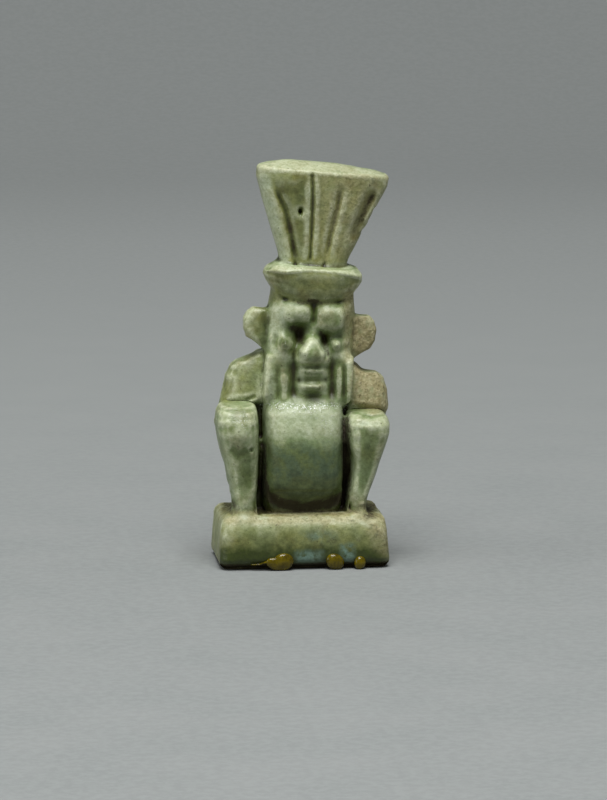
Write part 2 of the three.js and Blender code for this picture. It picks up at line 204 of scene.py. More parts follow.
def relaxed(values, turns, share=0.5):
    """Values, or points, drawn towards their neighbours' mean by a share, turn after turn."""
    columns = np.atleast_2d(values.T).copy()
    for _ in range(turns):
        for column in columns:
            column += share * (neighbour_mean(column) - column)
    return columns.T.reshape(values.shape)


def smoothed(values, turns):
    """Relaxing that keeps the volume: each turn in by a half is followed by one back out."""
    for _ in range(turns):
        values = relaxed(relaxed(values, 1, 0.5), 1, -0.52)
    return values


def outward(values):
    """Unit normals at the corners: the sum of the crossed diagonals of the quads round each."""
    across = values[quads[:, 2]] - values[quads[:, 0]]
    along = values[quads[:, 3]] - values[quads[:, 1]]
    face = np.cross(across, along)
    total = np.stack(
        [
            np.bincount(quads.ravel(), np.repeat(face[:, axis], 4), len(values))
            for axis in range(3)
        ],
        axis=1,
    )
    return total / np.maximum(np.linalg.norm(total, axis=1, keepdims=True), 1e-12)


def without_facets(values, turns, keep):
    """Flattens facets and leaves edges.

    Corners that relaxing moves by less than keep mm along their normal follow it.
    """
    flat = relaxed(values, turns)
    moved = np.abs(((flat - values) * outward(values)).sum(axis=1))
    share = relaxed(1.0 - ramp(0.4 * keep, keep, moved), 4)
    return values + share[:, None] * (flat - values)


FACET_MOVE = 0.09
points = without_facets(smoothed(points, 6), 40, FACET_MOVE)
normals = outward(points)
edge_lengths = np.linalg.norm(points[edges[:, 0]] - points[edges[:, 1]], axis=1)
print("mean edge in mm:", edge_lengths.mean().round(3))

# %% [markdown]
# ## Tools for the modelling
# The modeller of the mould worked with a few tools: a point that cuts a line, a thumb that
# presses a hollow or leaves a pad. Each is a sum over the skin: how far a corner lies from a
# line, or inside an outline, decides how far it moves in, straight back from the front. Only
# what faces the front moves, so the back keeps its plain forms.

# %% Lines and outlines
across, up = drawn(points)
facing = ramp(0.05, 0.5, -normals[:, 1])


def line_distance(line):
    """Each corner's distance to a bent line, and how far along that line it is, from 0 to 1.

    It is the least distance to any straight stretch; along each stretch the nearest point is
    the dot product with its direction, kept between its two ends.
    """
    stops = np.array(line, float)
    steps = np.diff(stops, axis=0)
    lengths = np.linalg.norm(steps, axis=1)
    gone = np.concatenate([[0.0], np.cumsum(lengths)])
    best = np.full(len(across), np.inf)
    share = np.zeros(len(across))
    for start, step, length, before in zip(stops, steps, lengths, gone):
        along = ((across - start[0]) * step[0] + (up - start[1]) * step[1]) / length**2
        along = np.clip(along, 0.0, 1.0)
        away = np.hypot(across - start[0] - along * step[0], up - start[1] - along * step[1])
        nearer = away < best
        best = np.where(nearer, away, best)
        share = np.where(nearer, (before + along * length) / gone[-1], share)
    return best, share


def line_mask(line, width, fade=0.0):
    """A soft line: a bell curve of the distance, exp(-(d / width)^2), that may fade at its ends."""
    away, share = line_distance(line)
    ends = 1.0
    if fade:
        ends = ramp(0.0, fade, share) * ramp(0.0, fade, 1.0 - share)
    return np.exp(-((away / width) ** 2)) * ends


def area_mask(outline, edge):
    """1 inside an outline, 0 outside it, with a soft edge that is this wide.

    Inside is an odd number of sides crossed by a level ray to the right.
    """
    stops = np.array(outline, float)
    inside = np.zeros(len(across), bool)
    for (x0, y0), (x1, y1) in zip(stops, np.roll(stops, -1, axis=0)):
        if y0 == y1:
            continue
        crossed = (up > min(y0, y1)) & (up <= max(y0, y1))
        inside ^= crossed & (across < x0 + (up - y0) / (y1 - y0) * (x1 - x0))
    away, _ = line_distance([*outline, outline[0]])
    return ramp(-edge, edge, np.where(inside, away, -away))


def spot_mask(centre, radius, height=None):
    """A soft round or oval spot: exp(-r^2), with r in radii."""
    tall = height or radius
    return np.exp(-(((across - centre[0]) / radius) ** 2) - ((up - centre[1]) / tall) ** 2)


def carve(mask, depth):
    """Moves the front straight back by depth times the mask; a depth below 0 raises it."""
    points[:, 1] += depth * mask * facing


def cut(line, depth, width, fade=0.0):
    """Cuts a bent line this deep, or raises it as a ridge where the depth is below 0."""
    carve(line_mask(line, width, fade), depth)


def press(centre, depth, radius, height=None):
    """Presses a round or oval hollow, or leaves a pad."""
    carve(spot_mask(centre, radius, height), depth)


def lower(outline, depth, edge):
    """Lowers all that is inside an outline, or raises it."""
    carve(area_mask(outline, edge), depth)


def shift(mask, sideways, upwards):
    """Slides the skin along the drawing sheet, in mm, by a mask."""
    points[:] = points + mask[:, None] * (sideways * RIGHT + upwards * UP)


def melt(mask, turns):
    """Softens the modelling by a mask, as a worn mould leaves it: relaxing by its share."""
    for _ in range(turns):
        for axis in range(3):
            column = points[:, axis]
            points[:, axis] += 0.5 * mask * (neighbour_mean(column) - column)


print("corners that face the front:", int((facing > 0.5).sum()))

# %% [markdown]
# ## Uneven edges and planes
# Chips, hand-pressed planes and patchy wear are never regular. Value noise stands for that:
# random heights at the corners of a lattice, blended smoothly between them. It is cheap, and
# the same seed gives the same amulet on each run.

# %% Value noise
LATTICE_SIDE = 64
LATTICE = np.random.default_rng(7).random((LATTICE_SIDE, LATTICE_SIDE, LATTICE_SIDE))


def noise(places, cell, offset=0.0):
    """Value noise from -1 to 1: lattice heights mixed by smooth shares along all three axes."""
    scaled = places / cell + LATTICE_SIDE / 2 + offset
    base = np.floor(scaled).astype(int)
    share = scaled - base
    share = share * share * (3.0 - 2.0 * share)
    total = np.zeros(len(places))
    for corner in np.ndindex(2, 2, 2):
        weight = np.prod(np.where(corner, share, 1.0 - share), axis=1)
        index = (base + corner) % LATTICE_SIDE
        total += weight * LATTICE[index[:, 0], index[:, 1], index[:, 2]]
    return 2.0 * total - 1.0


print("lattice:", LATTICE.shape)

# %% [markdown]
# ## The crown of plumes
# The plumes were cut apart with a few long strokes. The one at the figure's right edge is a
# rounded strip with a step down to its neighbour, the middle groove is thin with a raised lip on
# both sides, and the widest groove is at the left edge. The grooves run out below the rim.

# %% Cut the plumes
crown_front = area_mask([(-3.02, 30.6), (6.74, 30.28), (4.02, 23.88), (-1.42, 23.88)], 0.3)
melt(crown_front * ramp(-0.6, -1.0, points[:, 1]), 30)
cut([(-1.98, 29.88), (-1.1, 27.88), (-0.66, 26.04), (-0.34, 23.88)], 0.24, 0.24, 0.15)
SECOND_PLUME = [
    (-1.82, 29.8),
    (0.02, 29.96),
    (0.18, 28.84),
    (0.02, 23.88),
    (-0.22, 23.88),
    (-0.7, 26.44),
]
lower(SECOND_PLUME, 0.12, 0.5)
cut([(-2.62, 30.04), (-1.82, 28.04), (-1.26, 25.96), (-0.9, 23.88)], -0.08, 0.36, 0.1)
cut([(1.02, 31.16), (1.06, 28.92), (0.98, 26.6), (0.82, 23.88)], 0.2, 0.14, 0.06)
cut([(0.62, 30.76), (0.66, 28.92), (0.58, 26.6), (0.42, 23.88)], -0.07, 0.28, 0.15)
cut([(1.42, 30.76), (1.46, 28.92), (1.38, 26.6), (1.22, 23.88)], -0.05, 0.28, 0.15)
cut([(3.38, 30.12), (3.02, 28.04), (2.54, 26.12), (2.1, 24.04)], 0.25, 0.24, 0.2)
cut([(3.78, 29.64), (3.42, 28.04), (2.9, 26.12), (2.42, 24.04)], -0.06, 0.3, 0.3)
cut([(6.02, 29.8), (5.38, 28.28), (4.74, 26.76), (4.18, 25.32)], 0.36, 0.42, 0.2)
cut([(6.66, 29.8), (5.94, 28.28), (5.14, 26.76)], -0.16, 0.3, 0.2)
press((0.1, 27.88), 0.7, 0.15, 0.24)
melt(ramp(22.3, 23.0, points[:, 2]) * ramp(0.4, 1.0, points[:, 1]), 60)
print("plumes cut")

# %% [markdown]
# ## The chipped edge
# That left edge is broken away in small bites below the rim. A line is drawn where the
# edge now runs, noise makes it ragged, and what stands out past it is drawn back onto it.

# %% Break the crown's left edge
def break_back(line, share):
    """Draws back what stands out past a line on the figure's left, as where an edge has chipped."""
    stops = np.array(line, float)[::-1]
    limit = np.interp(up, stops[:, 1], stops[:, 0], left=np.inf, right=np.inf)
    limit = limit + 0.2 * noise(points, 0.8) + 0.1 * noise(points, 0.35, 5.0)
    past = np.maximum(across - limit, 0.0)
    shift(share * past, -1.0, 0.0)


BROKEN_EDGE = [
    (7.14, 30.12),
    (6.74, 29.4),
    (6.42, 28.6),
    (5.86, 28.04),
    (5.46, 27.48),
    (5.06, 26.6),
    (4.66, 25.64),
    (4.18, 24.36),
]
break_back(BROKEN_EDGE, 0.9)
print("edge broken")

# %% [markdown]
# ## The cap
# Under the plumes the cap has a thin bright lip, drawn as a raised line, and its front slopes
# in to a shadow over the brows.

# %% Model the cap
over_cap = points[:, 2] > 22
shift(spot_mask((-2.86, 23.88), 0.75, 0.6) * over_cap, 0.1, -0.42)
shift(spot_mask((4.98, 23.4), 0.6, 0.5) * over_cap, -0.25, -0.15)
CAP_LIP = [(-2.78, 23.48), (-1.26, 23.12), (0.82, 23.32), (2.82, 23.2), (4.02, 22.92), (4.9, 22.68)]
cut(CAP_LIP, -0.16, 0.2)
lower([(-2.38, 22.52), (4.5, 22.28), (3.22, 20.6), (-0.94, 20.6)], 0.16, 0.6)
cut([(-0.94, 20.56), (3.06, 20.56)], 0.14, 0.26)
print("cap modelled")

# %% [markdown]
# ## Brows and eyes
# The face is all scowl: two square brows with a groove between them, and bead eyes beside deep
# inner corners. The solid has the blocks of the face, so it is melted first, then drawn, and
# melted a little again, as if it had been pressed from a worn mould.

# %% Model the brows and eyes
face_front = ramp(-1.1, -1.5, points[:, 1])
upper_face = area_mask([(-2.38, 20.44), (4.1, 20.6), (4.02, 16.2), (-2.54, 16.2)], 0.3) * face_front
melt(upper_face, 20)
lower([(-2.46, 20.52), (-1.5, 20.52), (-1.5, 18.2), (-2.54, 17.88)], -0.4, 0.5)
lower([(-1.34, 19.4), (-0.3, 19.08), (-0.62, 18.12), (-1.5, 18.12)], -0.12, 0.4)
lower([(3.3, 20.52), (4.26, 20.6), (3.94, 17.24), (3.38, 17.64)], -0.22, 0.4)
lower([(-2.46, 18.12), (-0.7, 17.96), (-0.62, 16.2), (-2.62, 16.2)], -0.22, 0.5)
lower([(2.5, 17.64), (3.94, 17.64), (3.94, 16.2), (2.66, 16.2)], -0.18, 0.4)
cut([(1.12, 20.68), (1.12, 19.88), (1.14, 18.76)], 0.26, 0.22, 0.3)
cut([(1.14, 19.08), (1.14, 17.8)], -0.16, 0.4, 0.3)
press((0.26, 19.96), -0.12, 0.75, 0.45)
press((2.18, 19.88), -0.1, 0.8, 0.45)
cut([(-0.7, 18.44), (-0.14, 18.76), (0.5, 18.52)], 0.12, 0.5, 0.1)
press((-0.02, 18.16), 0.14, 0.75, 0.8)
press((1.98, 17.56), 0.2, 0.4, 0.95)
cut([(1.46, 18.84), (2.42, 18.52), (3.46, 18.04)], -0.07, 0.4, 0.3)
cut([(2.42, 17.88), (3.06, 17.76), (3.62, 17.88)], 0.14, 0.18, 0.15)
press((-1.22, 17.44), -0.5, 0.66, 0.66)
press((2.86, 17.2), -0.34, 0.42, 0.48)
cut([(-1.82, 17.4), (-1.62, 16.8), (-0.94, 16.44)], -0.16, 0.15, 0.1)
cut([(-2.0, 18.36), (-2.04, 17.64), (-1.94, 17.0)], 0.13, 0.18, 0.3)
cut([(-2.3, 18.2), (-2.38, 17.16), (-1.5, 16.28), (-0.7, 16.24)], -0.16, 0.26, 0.15)
cut([(2.5, 16.48), (3.06, 16.36), (3.78, 16.64)], -0.14, 0.22, 0.15)
melt(upper_face, 6)
print("brows and eyes modelled")

# %% [markdown]
# ## Nose, muzzle and mane
# The broad nose has a dark underside that falls away. Two level lips cross a square muzzle, and
# the locks of the mane hang beside it as long, shallow ridges.

# %% Model the nose, the muzzle and the locks
lower_face = area_mask([(-2.86, 16.28), (4.02, 16.28), (3.94, 12.44), (-2.86, 12.44)], 0.3)
melt(lower_face * face_front, 34)
melt(area_mask([(0.1, 15.72), (1.94, 15.72), (1.94, 13.64), (0.1, 13.64)], 0.4) * face_front, 50)
melt(area_mask([(-0.06, 17.32), (2.26, 17.32), (2.26, 15.4), (-0.06, 15.4)], 0.4) * face_front, 24)
lower([(-0.1, 16.2), (2.18, 16.2), (2.14, 12.68), (-0.06, 12.68)], -0.1, 0.4)
press((1.26, 16.04), -0.3, 0.85, 0.5)
press((1.3, 15.44), 0.2, 0.8, 0.18)
lower([(-0.06, 16.84), (0.58, 16.92), (0.58, 15.8), (-0.06, 15.72)], -0.3, 0.4)
cut([(1.06, 17.88), (0.42, 17.16), (0.02, 16.44), (0.02, 15.8)], -0.22, 0.34, 0.1)
cut([(1.38, 17.88), (1.9, 17.16), (2.18, 16.36), (2.18, 15.64)], -0.22, 0.28, 0.1)
cut([(-0.14, 15.2), (0.98, 15.28), (2.1, 15.24)], -0.14, 0.2, 0.1)
cut([(-0.3, 14.4), (0.98, 14.44), (2.34, 14.44)], 0.22, 0.3, 0.1)
cut([(-0.06, 14.08), (0.26, 13.88), (1.62, 13.88), (1.94, 14.12)], -0.13, 0.2, 0.15)
press((1.06, 13.16), 0.2, 0.85, 0.55)
cut([(-0.54, 16.12), (-0.56, 14.76), (-0.56, 12.84)], 0.12, 0.36, 0.25)
cut([(2.54, 16.28), (2.56, 14.6), (2.62, 12.6)], 0.12, 0.36, 0.25)
cut([(-1.78, 15.88), (-1.78, 14.28), (-1.7, 12.6)], 0.13, 0.22, 0.25)
cut([(-1.18, 15.08), (-1.18, 13.96), (-1.18, 12.68)], -0.12, 0.28, 0.2)
cut([(-2.54, 16.04), (-2.58, 14.44), (-2.54, 12.68)], -0.1, 0.34, 0.2)
cut([(3.14, 15.72), (3.14, 14.28), (3.14, 12.68)], -0.1, 0.24, 0.2)
cut([(3.52, 15.96), (3.52, 14.44), (3.54, 12.68)], 0.12, 0.22, 0.25)
cut([(3.94, 16.2), (3.94, 14.6), (3.9, 12.68)], -0.14, 0.22, 0.12)
melt(area_mask([(-0.14, 17.88), (2.42, 17.88), (2.34, 15.56), (-0.06, 15.56)], 0.4) * face_front, 9)
print("face modelled")

# %% [markdown]
# ## The body
# The arms end in plain paws on the knees, each set off by a crease. The shins are narrow with
# a sharp edge outside, and the belly bulges between them and tucks in at its foot.

# %% Model the body
shift(spot_mask((-4.3, 17.56), 0.5, 0.45), -0.3, 0.05)
shift(spot_mask((5.3, 15.56), 0.7, 0.5), -0.3, -0.2)
cut([(-5.5, 15.4), (-4.94, 15.96), (-3.02, 16.52)], -0.14, 0.18, 0.1)
tilt = 0.2 + ramp(15.88, 12.68, up)
RIGHT_ARM = [(-5.5, 14.92), (-4.7, 15.72), (-2.7, 16.36), (-2.7, 12.84), (-6.06, 12.52)]
LEFT_ARM = [(4.02, 15.88), (6.02, 15.0), (6.66, 14.12), (6.98, 12.04), (4.02, 12.36)]
carve(area_mask(RIGHT_ARM, 0.6) * tilt, -0.55)
carve(area_mask(LEFT_ARM, 0.55) * tilt, -0.6)
cut([(-6.22, 12.52), (-5.02, 12.44), (-3.26, 13.0)], -0.16, 0.16, 0.12)
cut([(-6.22, 12.84), (-5.02, 12.72), (-3.34, 13.28)], 0.14, 0.2, 0.12)
cut([(4.98, 11.76), (5.74, 11.48), (7.06, 11.64)], 0.28, 0.16, 0.1)
press((4.5, 11.72), -0.2, 0.5, 0.6)
cut([(4.18, 15.72), (6.02, 15.08), (6.74, 14.28), (6.98, 12.44)], -0.1, 0.25, 0.1)
cut([(-3.34, 10.84), (-3.3, 8.04), (-3.5, 5.24)], -0.1, 0.22, 0.1)
cut([(-4.3, 9.24), (-4.3, 7.24), (-4.14, 5.08)], 0.09, 0.6, 0.35)
cut([(5.86, 10.6), (5.46, 8.04), (4.82, 5.24)], 0.12, 0.55, 0.35)
cut([(4.58, 10.6), (4.5, 8.04), (4.26, 5.24)], -0.12, 0.35, 0.15)
press((-3.86, 8.84), 0.25, 0.1, 0.1)
press((3.9, 6.04), 0.4, 0.3, 0.3)
press((-4.82, 9.96), -0.26, 0.95, 1.0)
cut([(-5.74, 9.0), (-4.94, 8.4), (-3.98, 8.84)], 0.12, 0.35, 0.2)
press((5.7, 10.76), -0.16, 1.1, 0.6)
belly_front = ramp(-2.4, -2.8, points[:, 1])
belly_low = area_mask([(-2.7, 5.48), (3.54, 5.48), (3.7, 3.8), (-2.86, 3.8)], 0.35)
shift(belly_low * belly_front, 0.0, 0.32)
belly_foot = ramp(4.1, 4.5, points[:, 2]) * belly_front
carve(spot_mask((-2.86, 4.04), 0.9, 0.75) * belly_foot, 0.9)
carve(spot_mask((3.62, 4.12), 0.9, 0.75) * belly_foot, 0.9)
print("body modelled")

# %% [markdown]
# ## The plinth
# Its top front edge is worn quite round and its foot is undercut, so that a line of shadow
# lies under it. Ninety turns of melting do what a thumb did over the centuries.

# %% Round the plinth's front
heights = points[:, 2]
top_edge = ramp(2.6, 3.6, heights) * ramp(5.0, 4.7, heights) * ramp(-3.0, -3.6, points[:, 1])
melt(top_edge, 90)
carve(ramp(1.1, 0.0, points[:, 2]) ** 2, 0.75)
print("plinth rounded")

# %% [markdown]
# ## Ripples
# Nothing on the real surface is quite flat. The paste was pressed by hand, so its planes wave
# by a few hundredths of a millimetre, here with value noise of two sizes along the normals.

# %% Wave the surface
points = smoothed(points, 1)
normals = outward(points)
across, up = drawn(points)
wave = 0.035 * noise(points, 1.6) + 0.018 * noise(points, 0.6, 9.0)
points += normals * wave[:, None]
print("waves in mm: from", wave.min().round(3), "to", wave.max().round(3))

# %% [markdown]
# ## What the glaze knows about the surface
# Glaze runs off ridges and pools in hollows, dirt and painted shade darken the deepest cuts,
# and handling has rubbed one side down to the tan body. These are numbers on the skin's corners,
# so that the material can read them wherever the amulet is seen from.

# %% Measure the hollows
def hollow_at(turns):
    """How far a corner lies below the skin relaxed this much, in mm: more in hollows."""
    return ((relaxed(points, turns) - points) * normals).sum(axis=1)


fine_hollow = relaxed(hollow_at(12), 1)
broad_hollow = relaxed(hollow_at(160), 4)

front = ramp(-0.2, 0.3, -normals[:, 1])


def most(*masks):
    """The strongest of some masks at each corner."""
    return np.maximum.reduce(masks)


print("hollows in mm: up to", fine_hollow.max().round(2), "and", broad_hollow.max().round(2))

# %% [markdown]
# ## Wear, dirt and painted shade
# The figure's left ear and shoulder, its crown and the plinth's end are rubbed to the body, more
# in patches at the side. Dirt from the ground is left in the corners that no cloth reaches. The
# same mark also paints shade: a contact shadow along the plinth's foot and under the belly, and
# shade in the grooves beside the belly, in the eye hollows, beside the feet, under the cap and
# beside a plume of the crown.

# %% Mark the wear, the dirt and the painted shade
worn = most(
    area_mask([(4.18, 19.72), (6.42, 19.72), (6.42, 15.88), (4.18, 16.2)], 0.4),
    area_mask([(4.26, 16.04), (7.62, 15.56), (7.62, 11.88), (5.78, 11.72), (4.18, 12.52)], 0.35),
    0.42 * area_mask([(1.46, 31.56), (7.62, 30.76), (4.18, 23.88), (1.78, 23.88)], 1.2),
    0.6 * area_mask([(3.54, 21.48), (4.66, 21.48), (4.18, 15.88), (3.54, 15.88)], 0.3),
    0.7 * area_mask([(4.42, 4.84), (7.38, 4.84), (7.38, 0.04), (6.1, 1.24)], 0.8),
    0.7 * ramp(0.3, 0.8, normals[:, 2]) * ramp(5.0, 4.6, points[:, 2]),
    0.6 * line_mask([(-5.98, 3.84), (5.78, 3.84)], 0.22),
    0.35 * area_mask([(-3.98, 32.2), (7.38, 32.2), (6.74, 30.76), (0.02, 31.08), (-3.5, 31.08)], 0.3),
)
patchy = 0.7 * noise(points, 1.3, 3.0)
side_wear = ramp(5.4, 6.6, points[:, 0] + patchy) * ramp(-0.4, 1.2, points[:, 1] + patchy)
worn = np.maximum(worn * front, 0.8 * side_wear)
BELLY_EDGE = [(-3.02, 6.28), (-2.7, 5.32), (-1.58, 4.6), (0.26, 4.32), (2.26, 4.56), (3.54, 5.16)]
dirt_and_shade = most(
    0.6 * line_mask([(6.02, 29.72), (5.38, 28.28), (4.74, 26.76)], 0.28, 0.2),
    # painted shadow along the step beside the crown's strip at the figure's right edge
    0.5 * line_mask([(-0.94, 27.88), (-0.62, 25.96), (-0.3, 23.88)], 0.22, 0.2),
    # painted shade in the hollows at the inner corners of the eyes
    0.6 * line_mask([(-0.62, 18.6), (0.02, 18.36), (0.26, 17.48)], 0.42),
    0.6 * line_mask([(1.7, 18.36), (1.94, 17.48), (2.26, 16.52)], 0.28),
    0.4 * line_mask([(2.5, 16.2), (2.56, 14.6), (2.62, 12.6)], 0.4),
    line_mask([(0.78, 20.8), (1.38, 20.76)], 0.2),
    # painted shade under the cap's overhang
    0.45 * line_mask([(-0.78, 20.6), (2.98, 20.6)], 0.22, 0.2),
    # dirt and painted shade on the plinth's top beside the feet
    0.6 * area_mask([(-6.22, 4.92), (-4.94, 4.92), (-4.94, 3.96), (-6.22, 3.96)], 0.5),
    0.7 * area_mask([(4.98, 4.6), (6.1, 4.6), (6.1, 3.4), (5.14, 3.4)], 0.5),
    # painted contact shadow and dirt where the belly meets the plinth
    1.3 * line_mask(BELLY_EDGE, 0.4),
    # painted shade and dirt in the grooves between the belly and the shins
    0.8 * line_mask([(-2.86, 9.64), (-2.82, 5.64)], 0.22, 0.1),
    0.9 * line_mask([(3.7, 11.88), (3.7, 8.84), (3.78, 5.08)], 0.4, 0.1),
    0.35 * area_mask([(-6.22, 4.6), (6.1, 4.6), (6.1, 3.64), (-6.22, 3.64)], 0.3),
    # painted contact shadow along the foot, darker towards the floor
    1.2 * ramp(0.75, 0.15, points[:, 2]),
    0.45 * spot_mask((-3.06, 14.16), 0.22, 0.3),
    0.35 * spot_mask((2.5, 1.56), 0.8, 0.5),
    0.3 * spot_mask((4.9, 1.72), 0.7, 0.4),
)
dirt_and_shade *= np.maximum(ramp(-0.6, 0.0, -normals[:, 1]), ramp(1.0, 0.6, points[:, 2]))
print("worn share:", worn.mean().round(3), "dirty share:", dirt_and_shade.mean().round(3))

# %% [markdown]
# ## Thin and thick glaze, with painted light and shade
# The glaze melted in the kiln and ran a little: off the brows, the nose and the edges, and into
# the grooves and down to the foot. These marks also paint light and shade: tops that face the
# light are painted paler, and undersides, grooves and the plinth's foot are painted darker. Its
# tints differ too. It is teal in pools near the foot and golden on crown, arms and plinth, and
# white painted sparkle highlights lie on the belly's top and a knee.

# %% Mark thin and thick glaze, painted light and shade, and tints
NOSE_SIDE = [
    (-0.06, 15.72),
    (-0.06, 16.68),
    (0.98, 17.8),
    (1.46, 17.8),
    (1.7, 17.16),
    (0.66, 16.68),
    (0.5, 15.72),
]
thin_and_lit = most(
    # painted light on the figure's right temple and on the brows' tops, with thin glaze
    0.9 * area_mask([(-2.54, 20.52), (-0.62, 20.52), (-0.94, 18.28), (-2.7, 17.64)], 0.5),
    0.5 * spot_mask((0.26, 20.04), 0.8, 0.5),
    0.6 * spot_mask((2.42, 20.12), 1.0, 0.5),
    # painted light on the nose's upper face and a painted highlight along its rim on the figure's
    # left
    0.9 * area_mask(NOSE_SIDE, 0.4),
    0.8 * line_mask([(1.86, 17.08), (2.18, 16.2), (2.18, 15.48)], 0.25),
    0.7 * area_mask([(-3.02, 16.2), (-1.9, 16.2), (-1.9, 12.68), (-3.02, 12.68)], 0.4),
    0.8 * area_mask([(-0.22, 15.56), (0.34, 15.56), (0.34, 13.32), (-0.22, 13.32)], 0.3),
    0.8 * area_mask([(1.78, 15.56), (2.26, 15.56), (2.26, 13.32), (1.78, 13.32)], 0.3),
    0.9 * line_mask([(-2.3, 18.2), (-2.38, 17.16), (-1.5, 16.28), (-0.7, 16.24)], 0.35),
    0.9 * line_mask([(2.66, 16.36), (3.78, 16.6), (3.94, 15.72)], 0.3),
    # painted light on the belly's top, which faces the light
    0.75 * area_mask([(-3.02, 12.2), (3.7, 12.2), (3.54, 9.8), (-2.86, 9.8)], 0.6),
    # painted light on the top of the figure's left knee
    0.4 * area_mask([(4.02, 11.88), (7.22, 11.4), (7.06, 10.6), (4.18, 10.6)], 0.5),
    # painted light on the lit strips of both shins
    0.6 * line_mask([(4.5, 10.84), (4.42, 8.04), (4.18, 5.08)], 0.45),
    0.5 * line_mask([(-6.22, 11.24), (-5.58, 7.24), (-5.1, 5.08)], 0.3),
    # painted light on the plinth front's upper band and a painted highlight along its top edge
    0.3 * area_mask([(-6.86, 3.48), (5.78, 3.48), (6.74, 2.44), (-6.86, 2.36)], 0.5),
    1.1 * line_mask([(-5.9, 3.4), (4.26, 3.4), (5.62, 2.68)], 0.2),
    # painted light on the crown's top and on its strip at the figure's right edge
    1.2 * area_mask([(-3.98, 32.2), (7.38, 32.2), (6.74, 30.76), (0.02, 31.16), (-3.5, 31.16)], 0.25),
    1.5 * line_mask([(-2.94, 30.6), (-1.26, 23.88)], 0.5),
    # painted highlight along the cap's lip
    0.9 * line_mask([(-1.42, 23.64), (3.86, 23.48)], 0.3),
) * front
thick_and_shaded = most(
    # painted shade on the belly's lower half, which turns away from the light, with thicker glaze
    0.9 * area_mask([(-2.86, 9.16), (3.7, 9.16), (3.7, 3.88), (-2.86, 3.88)], 0.8),
    1.1 * area_mask([(-2.86, 5.8), (3.7, 5.8), (3.7, 3.72), (-2.86, 3.72)], 0.7),
    # painted shade on the shaded faces of both shins
    0.65 * line_mask([(-4.46, 9.48), (-4.3, 7.4), (-4.14, 4.84)], 0.85, 0.35),
    0.5 * line_mask([(5.94, 10.76), (5.46, 7.88), (4.74, 4.68)], 0.75, 0.3),
    # painted shade on the plinth's lower front, which faces down, with thicker glaze
    1.4 * area_mask([(-7.34, 1.16), (7.38, 1.16), (7.38, -0.92), (-7.34, -0.92)], 1.0),
    # painted shade on the cap's lower front, under its overhang
    0.2 * area_mask([(-2.7, 22.76), (4.82, 22.44), (3.06, 20.6), (-0.94, 20.6)], 0.5),
    0.5 * area_mask([(-0.94, 21.0), (3.06, 21.0), (3.06, 20.44), (-0.94, 20.44)], 0.35),
    # painted shade on the underside of the nose
    0.8 * spot_mask((1.26, 16.28), 0.6, 0.7),
    0.35 * line_mask([(3.38, 29.8), (3.02, 28.04), (2.54, 26.12), (2.1, 24.04)], 0.25, 0.1),
    # painted shadow in the step beside the crown's strip at the figure's right edge
    0.4 * line_mask([(-1.9, 29.64), (-1.02, 27.8), (-0.58, 25.96), (-0.26, 23.88)], 0.25, 0.1),
    0.5 * area_mask([(5.78, 29.96), (6.74, 29.64), (4.98, 26.44), (4.18, 25.32), (4.18, 26.76)], 0.5),
    0.95 * spot_mask((-1.18, 17.52), 0.5),
    0.5 * spot_mask((2.82, 17.2), 0.4),
    # painted shade below the figure's right knee
    0.4 * spot_mask((-4.78, 8.68), 1.0, 0.35),
    0.4 * line_mask([(-5.74, 10.44), (-5.5, 8.84)], 0.4),
    # painted shade on the brows' lower sides, with pooled glaze
    0.6 * area_mask([(-1.1, 19.4), (0.66, 19.4), (0.5, 18.44), (-0.94, 18.44)], 0.4),
    0.6 * area_mask([(1.78, 19.08), (3.54, 18.76), (3.38, 17.88), (2.1, 17.96)], 0.4),
    # painted shade and pooled glaze in the grooves beside the muzzle and between the locks
    0.3 * line_mask([(-1.78, 15.88), (-1.7, 12.6)], 0.3, 0.2),
    0.5 * line_mask([(-0.54, 16.04), (-0.54, 12.84)], 0.4, 0.2),
    0.5 * line_mask([(2.54, 16.04), (2.58, 12.68)], 0.45, 0.2),
    0.35 * line_mask([(3.54, 15.88), (3.54, 12.68)], 0.3, 0.2),
    # painted shade in the mouth and in the recess under the lower lip
    0.4 * line_mask([(0.26, 14.44), (1.7, 14.44)], 0.3, 0.2),
    0.6 * spot_mask((1.06, 13.16), 0.9, 0.6),
    0.5 * area_mask([(-1.82, 30.28), (0.66, 30.28), (0.5, 23.88), (-0.62, 23.88)], 0.5),
    0.6 * line_mask([(-2.82, 20.2), (-2.82, 17.48)], 0.4),
    0.3 * area_mask([(-5.74, 15.56), (-3.02, 16.36), (-3.02, 13.16), (-6.06, 12.84)], 0.5),
    0.25 * area_mask([(-0.78, 20.52), (3.38, 20.52), (3.38, 19.24), (-0.78, 19.24)], 0.5),
    # painted shade on the cap's lower front
    0.45 * area_mask([(-1.9, 21.72), (4.02, 21.56), (3.06, 20.6), (-0.94, 20.6)], 0.4),
    0.25 * area_mask([(-5.9, 12.04), (-3.34, 12.04), (-3.34, 9.96), (-5.9, 9.96)], 0.5),
    0.3 * area_mask([(0.02, 31.4), (6.74, 30.76), (6.26, 29.64), (0.02, 30.12)], 0.4),
    # painted shade over the plinth's front, darker towards the foot
    0.35 * area_mask([(-7.34, 2.92), (7.38, 2.92), (7.38, -0.92), (-7.34, -0.92)], 0.8),
) * front
